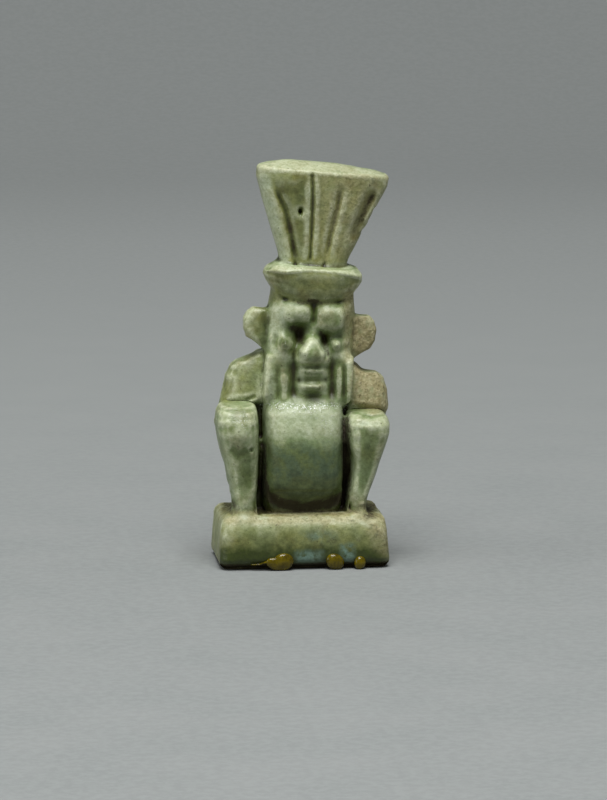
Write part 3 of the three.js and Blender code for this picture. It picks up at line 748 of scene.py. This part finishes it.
# Painted sparkle highlights: white flecks on the belly's top and on the figure's right knee, where
# the light falls.
painted_sparkle = most(
    1.1 * line_mask([(-3.02, 12.44), (-1.18, 12.28), (3.62, 12.28)], 0.28),
    0.45 * area_mask([(-3.02, 12.6), (3.7, 12.44), (3.54, 11.24), (-2.86, 11.56)], 0.5),
    0.4 * spot_mask((2.42, 10.84), 1.0, 1.3),
    0.5 * spot_mask((-4.54, 10.92), 1.0, 0.8),
) * front
teal = most(
    area_mask([(-0.22, 0.68), (1.78, 0.68), (1.78, -0.04), (-0.22, -0.04)], 0.4),
    area_mask([(3.38, 1.24), (4.26, 1.24), (4.26, -0.04), (3.38, -0.04)], 0.4),
    0.5 * spot_mask((1.46, 1.96), 1.2, 0.5),
    0.18 * area_mask([(-2.54, 9.64), (3.38, 9.64), (3.38, 6.44), (-2.38, 6.12)], 0.8),
) * front
olive = most(
    ramp(20.5, 21.5, points[:, 2]) * ramp(0.7, 0.4, normals[:, 2]),
    ramp(4.8, 4.2, points[:, 2]),
    0.8 * area_mask([(-5.98, 15.88), (-3.02, 16.68), (-3.02, 12.84), (-6.38, 12.52)], 0.5),
    0.8 * area_mask([(-4.94, 20.52), (-2.86, 20.52), (-2.86, 17.16), (-4.94, 17.16)], 0.4),
)
print("mean of thin and thick:", thin_and_lit.mean().round(3), thick_and_shaded.mean().round(3))

# %% [markdown]
# ## The finished skin as a piece
# The arrays go back into a mesh in metres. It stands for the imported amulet, which stays hidden,
# and rides on the same body.

# %% Make the amulet
def make_piece(name, corners, faces):
    """A mesh object at the origin from corners in mm and faces, riding on the one body."""
    mesh = bpy.data.meshes.new(name)
    mesh.from_pydata((corners / MM_PER_M).tolist(), [], list(faces))
    mesh.polygons.foreach_set("use_smooth", np.ones(len(faces), bool))
    mesh.update()
    piece = bpy.data.objects.new(name, mesh)
    bpy.context.scene.collection.objects.link(piece)
    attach(piece, "root")
    return piece


def mark(piece, name, values):
    """Keeps one number from 0 to 1 a corner on the piece, for its material."""
    attribute = piece.data.attributes.new(name, "FLOAT", "POINT")
    attribute.data.foreach_set("value", np.clip(values, 0, 1).astype(np.float32))


FLAT_UNDER = 0.03  # what lies lower than this, in mm, is pressed flat on the floor
points[:, 2] = np.where(points[:, 2] < FLAT_UNDER, 0.0, points[:, 2])
points = np.clip(points, lowest, highest)
glazed = make_piece("glazed_amulet", points, quads.tolist())
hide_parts("amulet")
FINE_SPAN = 0.2
BROAD_SPAN = 0.5
MARKS = {
    "fine_hollow": 0.5 + fine_hollow / FINE_SPAN,
    "broad_hollow": 0.5 + broad_hollow / BROAD_SPAN,
    "worn": worn,
    "dirt_and_shade": dirt_and_shade,
    # thickness mixes the glaze's thickness with painted light and shade: lower on lit tops, higher on
    # shaded undersides
    "thickness": relaxed(np.clip(0.4 + 0.4 * (thick_and_shaded - thin_and_lit), 0, 1), 2),
    "painted_sparkle": painted_sparkle,
    "teal": teal,
    "olive": olive,
}
for name, values in MARKS.items():
    mark(glazed, name, values)
print("fine hollow in mm:", np.percentile(fine_hollow, [2, 50, 98]).round(3))
print("broad hollow in mm:", np.percentile(broad_hollow, [2, 50, 98]).round(3))

# %% [markdown]
# ## Materials
# Every material here is a tree of nodes, written out as a list of plain calls. One helper adds
# a node, sets its properties and fills its inputs, whether with a number, a colour or another
# node's output, so that a material reads from top to bottom like a recipe.

# %% A helper for nodes
def new_material(name):
    """A material with only its output node: the material, its tree and that node's input."""
    material = bpy.data.materials.new(name)
    material.use_nodes = True
    nodes = material.node_tree.nodes
    nodes.clear()
    return material, material.node_tree, nodes.new("ShaderNodeOutputMaterial").inputs["Surface"]


def node(kind, values=(), output=0, **settings):
    """Adds a shader node to the tree in hand and gives one of its outputs, by name or number.

    Settings are the node's properties. Values fill its inputs, in order or by name or number:
    an output is linked, an sRGB hex colour is made linear, and a number is set as it is.
    """
    made = tree.nodes.new("ShaderNode" + kind)
    for name, value in settings.items():
        setattr(made, name, value)
    for key, value in values.items() if isinstance(values, dict) else enumerate(values):
        if isinstance(value, bpy.types.NodeSocket):
            tree.links.new(value, made.inputs[key])
        else:
            made.inputs[key].default_value = linear(value) if isinstance(value, str) else value
    return made.outputs[output]


print("materials from here on")

# %% [markdown]
# ## Green faience glaze
# Faience is crushed quartz under an alkaline glaze that copper turns green. The eye sees a
# glaze that is pale where it runs thin on ridges and deep green where it pools, with a broken
# gloss and fine dimples, and a matt, gritty tan body where it has worn off. A plain colour would
# look like plastic, so noise on Object coordinates mottles it, each kind at its real size.

# %% Read the marks and make the noises
glaze, tree, surface = new_material("copper_green_faience_glaze")
place = node("TexCoord", output="Object")

NOISES = {  # size of a grain in mm, detail, roughness
    "mottle": (2.4, 3.0, 0.55),
    "cloud": (5.5, 2.0, 0.55),
    "blotch": (0.9, 3.0, 0.6),
    "speckle": (0.28, 2.0, 0.7),
    "pits": (0.45, 2.0, 0.6),
    "stain": (1.7, 4.0, 0.65),
    "grain": (0.3, 3.0, 0.75),
    "specks": (0.24, 1.0, 0.5),
    "crumbs": (0.7, 5.0, 0.8),
    "sparkle_flecks": (0.15, 2.0, 0.8),
    "gloss": (1.2, 3.0, 0.55),
    "dimples": (0.5, 2.0, 0.55),
}
noises = {
    name: node(
        "TexNoise",
        {"Vector": place, "Scale": MM_PER_M / size, "Detail": detail, "Roughness": roughness},
    )
    for name, (size, detail, roughness) in NOISES.items()
}
marks = {name: node("Attribute", output="Fac", attribute_name=name) for name in MARKS}
print("noises:", len(noises), "marks:", len(marks))

# %% [markdown]
# ## Shares of the layers
# Each layer of colour covers a share of the surface, from 0 to 1. A Map Range node cuts that
# share out of a noise or a mark: it spreads from a low to a high value onto 0 to 1, or onto the
# two numbers that follow. Math nodes multiply or add such shares.

# %% Work out where each layer shows
speckle, blotch, pits = noises["speckle"], noises["blotch"], noises["pits"]
fine, broad, thickness = marks["fine_hollow"], marks["broad_hollow"], marks["thickness"]

mottled = node("MapRange", [noises["mottle"], 0.35, 0.65])
clouded = node("MapRange", [noises["cloud"], 0.42, 0.62])
olive_share = node("Math", [marks["olive"], 0.85], operation="MULTIPLY")

# The thickness mark carries painted light and shade as well as the glaze's thickness.
uneven = node("MapRange", [blotch, 0.3, 0.7, 0.0, 0.24])
uneven = node("Math", [thickness, uneven], operation="ADD")
paler_glaze_and_light = node("MapRange", [uneven, 0.5, 0.1])
darker_glaze_and_shade = node("MapRange", [uneven, 0.5, 1.0])

in_fine = node("MapRange", [fine, 0.51, 0.85, 0.0, 0.8])
in_broad = node("MapRange", [broad, 0.6, 1.0, 0.0, 0.5])
pooled = node("Math", [in_fine, in_broad], operation="ADD")
pooled_speckle = node("MapRange", [speckle, 0.5, 0.75, 0.0, 0.14])
pooled = node("Math", [pooled, pooled_speckle], operation="ADD")

ridges = node("MapRange", [fine, 0.485, 0.36, 0.0, 0.85])
broken = node("MapRange", [speckle, 0.3, 0.6, 0.5, 1.0])
rubbed = node("Math", [ridges, broken], operation="MULTIPLY")
not_thick = node("MapRange", [thickness, 0.75, 0.5])
rubbed = node("Math", [rubbed, not_thick], operation="MULTIPLY")

teal_blotch = node("MapRange", [blotch, 0.35, 0.55])
teal_glaze = node("Math", [marks["teal"], teal_blotch], operation="MULTIPLY")
worn_blotch = node("MapRange", [blotch, 0.3, 0.5, 0.45, 1.0])
worn_off = node("Math", [marks["worn"], worn_blotch], operation="MULTIPLY")

# Dirt and painted shade: the deepest fine and broad hollows are darkened to near black.
deep_fine = node("MapRange", [fine, 0.75, 1.0, 0.0, 0.7])
deep_broad = node("MapRange", [broad, 0.9, 1.0, 0.0, 0.5])
deep = node("Math", [deep_fine, deep_broad], operation="ADD")

stained = node("MapRange", [noises["stain"], 0.5, 0.72, 0.0, 0.6])
less_thin = node("MapRange", [thickness, 0.1, 0.5, 0.4, 1.0])
stained = node("Math", [stained, less_thin], operation="MULTIPLY")
grained = node("MapRange", [noises["grain"], 0.42, 0.62, 0.0, 0.55])
specked = node("MapRange", [noises["specks"], 0.71, 0.78, 0.0, 0.6])

# Dirt and painted shade, made ragged by noise: this also paints the contact shadow and shade in
# grooves and hollows.
ragged = node("MapRange", [noises["crumbs"], 0.3, 0.65, 0.2, 1.6])
ragged = node("Math", [marks["dirt_and_shade"], ragged], operation="MULTIPLY")
grime_and_shade = node("MapRange", [ragged, 0.2, 0.7, 0.0, 0.85])
# painted sparkle highlights, as white flecks
sparkle_spots = node("MapRange", [noises["sparkle_flecks"], 0.55, 0.64])
sparkle_flecks = node("Math", [marks["painted_sparkle"], sparkle_spots], operation="MULTIPLY")
sparkle_shown = node("Math", [sparkle_flecks, 0.9], operation="MULTIPLY")
print("nodes so far:", len(tree.nodes))

# %% [markdown]
# ## Colours of the layers
# The layers lie over each other in the order in which they came about: the glaze as it was
# fired, its wear, and then what the ground and old hands left on it. Painted light and shade ride
# in them too: paler and darker glaze on lit tops and shaded undersides, near-black painted shade
# in the deepest hollows and along the foot, and white painted sparkle highlights. A stain only
# takes light away, so it is multiplied in, where dirt, painted shade and sparkle cover what is
# under them.

# %% Lay the colours on
mix = {"output": 2, "data_type": "RGBA"}
SHARE, UNDER, OVER = 0, 6, 7  # the inputs of a Mix node of colours
golden = node("Mix", {SHARE: mottled, UNDER: "#98995a", OVER: "#8a9260"}, **mix)
bare = node("MapRange", [speckle, 0.35, 0.65])
bare = node("Mix", {SHARE: bare, UNDER: "#938a62", OVER: "#b5ad86"}, **mix)
pitted = node("MapRange", [pits, 0.58, 0.7, 0.0, 0.7])
bare = node("Mix", {SHARE: pitted, UNDER: bare, OVER: "#5e5a3c"}, **mix)
colour = node("Mix", {SHARE: mottled, UNDER: "#87945c", OVER: "#84966c"}, **mix)
for share, over, blend_type in [
    (clouded, "#788a58", "MIX"),
    (olive_share, golden, "MIX"),
    # paler glaze with painted light, darker glaze with painted shade
    (paler_glaze_and_light, "#b9c3a4", "MIX"),
    (darker_glaze_and_shade, "#36420a", "MIX"),
    (pooled, "#3c450d", "MIX"),
    (rubbed, "#c2c8a8", "MIX"),
    (teal_glaze, "#76948a", "MIX"),
    (worn_off, bare, "MIX"),
    # near-black dirt and painted shade in the deepest hollows
    (deep, "#2a2208", "MIX"),
    (stained, "#b79f63", "MULTIPLY"),
    (grained, "#c3c8a8", "MULTIPLY"),
    (specked, "#3d3b1c", "MIX"),
    # dark brown dirt and painted shade
    (grime_and_shade, "#2a1e08", "MIX"),
    # white painted sparkle highlights
    (sparkle_shown, "#e9eee6", "MIX"),
]:
    values = {SHARE: share, UNDER: colour, OVER: over}
    colour = node("Mix", values, **mix, blend_type=blend_type)
print("nodes so far:", len(tree.nodes))

# %% [markdown]
# ## Gloss and dimples
# Old glaze is smooth at a glance and finely dimpled close up, which breaks its highlights. Wear
# and dirt make it matt. Glass-like glazes have an IOR of about 1.5. The dimples and pits are too
# fine for the mesh, so they are bump, a tenth of a millimetre deep.

# %% Roughness, bump and the shader
DIMPLE_DEPTH = 0.1 / MM_PER_M
PIT_DEPTH = 0.12 / MM_PER_M
rough = node("MapRange", [noises["gloss"], 0.3, 0.7, 0.34, 0.5])
for share, amount, operation in [
    (worn_off, 0.35, "ADD"),
    (sparkle_flecks, 0.2, "SUBTRACT"),
    (grime_and_shade, 0.45, "ADD"),
]:
    part = node("Math", [share, amount], operation="MULTIPLY")
    rough = node("Math", [rough, part], operation=operation, use_clamp=True)
coarse_half = node("Math", [noises["dimples"], 0.5], operation="MULTIPLY")
fine_half = node("Math", [speckle, 0.5], operation="MULTIPLY")
dimples = node("Math", [coarse_half, fine_half], operation="ADD")
bump = node("Bump", {"Strength": 0.6, "Distance": DIMPLE_DEPTH, "Height": dimples})
grit = {"Strength": worn_off, "Distance": PIT_DEPTH, "Height": pits, "Normal": bump}
grit = node("Bump", grit)
skin = {"Base Color": colour, "Roughness": rough, "IOR": 1.5, "Normal": grit}
tree.links.new(node("BsdfPrincipled", skin), surface)
glazed.data.materials.append(glaze)
print("glaze nodes:", len(tree.nodes))

# %% [markdown]
# ## Dried glue
# Drops of old amber glue sit at the front of the plinth's foot, and one ran out to a thin
# smear. Each drop is a bead that fills the box of its solid: an ellipsoid with a wavy outline.

# %% Shape the drops
ROWS, TURNS = 24, 40  # rings from foot to top of a drop, and corners round each
RINGS, AROUND = 40, 16  # rings along the smear, and corners round each


def blob(low, high, lobes=0.05, lean=0.0):
    """A bead of glue in a box, by height angle and turn: an ellipsoid with a wavy outline.

    x, y and z are the half size times cos, cos and sin; three waves in the turn swell it.
    """
    low, high = np.array(low), np.array(high)
    rise = np.linspace(-math.pi / 2, math.pi / 2, ROWS)[:, None]
    turn = np.linspace(0, 2 * math.pi, TURNS, endpoint=False)[None, :]
    swell = 1 + lobes * np.cos(3 * turn + 1.0) * np.cos(rise)
    x = np.cos(rise) ** 0.9 * np.cos(turn) * swell
    y = np.cos(rise) ** 0.9 * np.sin(turn) * swell
    z = np.sin(rise) + 0 * turn
    shape = np.stack([x + lean * z, y, z], -1)[1:-1].reshape(-1, 3)
    shape = np.vstack([shape, [[-lean, 0, -1], [lean, 0, 1]]])
    shape = 2 * (shape - shape.min(0)) / (shape.max(0) - shape.min(0)) - 1
    return shape * (high - low) / 2 + (high + low) / 2


def side_faces(grid):
    """Quads between the rings of a tube whose corners are numbered in this grid."""
    beside = np.roll(grid, -1, axis=1)
    return np.stack([grid[:-1], beside[:-1], beside[1:], grid[1:]], -1).reshape(-1, 4).tolist()


def blob_faces():
    """Quads between the rings and a fan of triangles at each pole, all turned outwards."""
    foot = (ROWS - 2) * TURNS
    grid = np.arange(foot).reshape(-1, TURNS)
    beside = np.roll(grid, -1, axis=1)
    foot_fan = np.stack([beside[0], grid[0], np.full(TURNS, foot)], -1)
    top_fan = np.stack([grid[-1], beside[-1], np.full(TURNS, foot + 1)], -1)
    return side_faces(grid) + foot_fan.tolist() + top_fan.tolist()


def smear(path, heights, thickness):
    """A film along a path of x, y, z: a flat oval section whose height tapers along it."""
    path, heights = np.array(path), np.array(heights)
    stops = np.linspace(0, len(path) - 1, RINGS)
    places = np.arange(len(path))
    line = np.stack([np.interp(stops, places, path[:, axis]) for axis in range(3)], -1)
    tall = np.interp(stops, places, heights)
    turn = np.linspace(0, 2 * math.pi, AROUND, endpoint=False)
    ring_y = thickness / 2 * np.cos(turn)[None, :] * np.sqrt(tall / tall.max())[:, None]
    ring_z = tall[:, None] / 2 * np.sin(turn)[None, :]
    x = line[:, :1] + 0 * ring_z
    return np.stack([x, line[:, 1:2] + ring_y, line[:, 2:] + ring_z], -1).reshape(-1, 3)


def smear_faces():
    """Quads between the rings and one many-sided face at each end, turned outwards."""
    grid = np.arange(RINGS * AROUND).reshape(RINGS, AROUND)
    return side_faces(grid) + [grid[0][::-1].tolist(), grid[-1].tolist()]


LEANS = {"dried_glue_left": 0.1, "dried_glue_middle": -0.15, "dried_glue_right": 0.05}
drops = []
for name, lean in LEANS.items():
    low, high = (np.array(corner) * MM_PER_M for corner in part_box(name))
    drop = make_piece(name + "_drop", blob(low, high, lean=lean), blob_faces())
    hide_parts(name)
    drops.append(drop)

lobe = blob((-3.15, -4.78, 0.05), (-1.6, -4.2, 1.05), 0.08, -0.3)
drops.append(make_piece("glue_lobe", lobe, blob_faces()))
SMEAR_PATH = [
    (-4.35, -4.38, 0.5),
    (-3.7, -4.45, 0.52),
    (-3.1, -4.5, 0.72),
    (-2.4, -4.55, 0.95),
    (-1.7, -4.5, 1.05),
]
SMEAR_HEIGHTS = [0.05, 0.13, 0.16, 0.2, 0.16]
film = smear(SMEAR_PATH, SMEAR_HEIGHTS, 0.24)
drops.append(make_piece("glue_smear", film, smear_faces()))
print("drops:", [drop.name for drop in drops])

# %% [markdown]
# ## Old amber glue
# It is an animal glue or resin that has dried hard: olive brown, shiny, with an IOR near 1.5,
# and it lets a little light in. Its colour is uneven at half a millimetre.

# %% Colour the glue
glue, tree, surface = new_material("dried_amber_glue")
place = node("TexCoord", output="Object")
clots = {"Vector": place, "Scale": MM_PER_M / 0.5, "Detail": 3.0, "Roughness": 0.55}
clots = node("MapRange", [node("TexNoise", clots), 0.35, 0.65])
amber = node("Mix", {SHARE: clots, UNDER: "#453c00", OVER: "#6f6200"}, **mix)
hard = {"Base Color": amber, "Roughness": 0.08, "IOR": 1.5}
hard |= {"Specular IOR Level": 0.3, "Transmission Weight": 0.15}
tree.links.new(node("BsdfPrincipled", hard), surface)
for drop in drops:
    drop.data.materials.append(glue)
print("glue coloured")

# %% [markdown]
# ## The stage
# A sweep of pale grey paper: level under the amulet, then curving up behind it.

# %% Floor and backdrop
HALF_WIDTH = 900.0  # of the paper, in mm
FRONT_EDGE = -500.0
BEND_START = 260.0
BEND_RADIUS = 220.0
PAPER_TOP = 700.0


def sweep():
    """Paper whose profile runs back along the floor, round a quarter circle and up."""
    bend_angle = np.linspace(0, math.pi / 2, 24)
    floor_y = np.linspace(FRONT_EDGE, BEND_START, 8)[:-1]
    bend_y = BEND_START + BEND_RADIUS * np.sin(bend_angle)
    bend_z = BEND_RADIUS * (1 - np.cos(bend_angle))
    y = np.concatenate([floor_y, bend_y, [BEND_START + BEND_RADIUS]])
    z = np.concatenate([0 * floor_y, bend_z, [PAPER_TOP]])
    x = np.linspace(-HALF_WIDTH, HALF_WIDTH, 8)
    grid_x, grid_y = np.meshgrid(x, y)
    _, grid_z = np.meshgrid(x, z)
    corners = np.stack([grid_x, grid_y, grid_z], -1).reshape(-1, 3)
    index = np.arange(len(corners)).reshape(len(y), len(x))
    faces = np.stack([index[:-1, :-1], index[:-1, 1:], index[1:, 1:], index[1:, :-1]], -1)
    return corners, faces.reshape(-1, 4)


corners, faces = sweep()
paper_mesh = bpy.data.meshes.new("paper_sweep")
paper_mesh.from_pydata((corners / MM_PER_M).tolist(), [], faces.tolist())
paper_mesh.polygons.foreach_set("use_smooth", np.ones(len(faces), bool))
floor = bpy.data.objects.new("paper_sweep", paper_mesh)
bpy.context.scene.collection.objects.link(floor)
print("sweep faces:", len(faces))

# %% [markdown]
# ## Pale grey paper
# Matt card, a little cloudy at a centimetre and fibrous at a millimetre, and lighter further
# back, which evens out the fall of the light.

# %% Colour the paper
paper, tree, surface = new_material("pale_grey_paper")
place = node("TexCoord", output="Object")
behind = node("SeparateXYZ", [place], output="Y")
further = node("MapRange", [behind, 0.0, 200.0 / MM_PER_M])
clouds = {"Vector": place, "Scale": MM_PER_M / 9.0, "Detail": 4.0, "Roughness": 0.55}
clouds = node("MapRange", [node("TexNoise", clouds), 0.3, 0.7])
tone = node("Mix", {SHARE: clouds, UNDER: "#838786", OVER: "#898c8b"}, **mix)
tone = node("Mix", {SHARE: further, UNDER: tone, OVER: "#9ea2a1"}, **mix)
fibres = {"Vector": place, "Scale": MM_PER_M / 0.8, "Detail": 3.0, "Roughness": 0.7}
fibres = node("MapRange", [node("TexNoise", fibres), 0.4, 0.6, 0.0, 0.4])
tone = node("Mix", {SHARE: fibres, UNDER: tone, OVER: "#939896"}, **mix)
tree.links.new(node("BsdfPrincipled", {"Base Color": tone, "Roughness": 0.8}), surface)
floor.data.materials.append(paper)
print("paper coloured")

# %% [markdown]
# ## Light
# A big soft box hangs almost over the amulet, a little in front, so that brows, knees and the
# plinth's edge catch the light and what slopes in is dark. A faint one stands at its right
# side, and an even white room fills the rest. Plain colours are kept, with no film look.

# %% Lights
def soft_box(name, place_mm, aim_mm, size_mm, watts):
    """A square area light that looks at a point."""
    lamp = bpy.data.lights.new(name, "AREA")
    lamp.size = size_mm / MM_PER_M
    lamp.energy = watts
    holder = bpy.data.objects.new(name, lamp)
    holder.location = Vector(place_mm) / MM_PER_M
    way = Vector(place_mm) - Vector(aim_mm)
    holder.rotation_euler = way.to_track_quat("Z", "Y").to_euler()
    bpy.context.scene.collection.objects.link(holder)


soft_box("key_box", (-15, -130, 390), (0, 0, 14), 230, 2.05)
soft_box("side_box", (-300, -60, 110), (0, 0, 18), 160, 0.2)
world = bpy.data.worlds.new("studio_room")
world.use_nodes = True
room = world.node_tree.nodes["Background"]
room.inputs["Color"].default_value = (1, 1, 1, 1)
room.inputs["Strength"].default_value = 0.22
bpy.context.scene.world = world
bpy.context.scene.view_settings.view_transform = "Standard"
print("lights set")
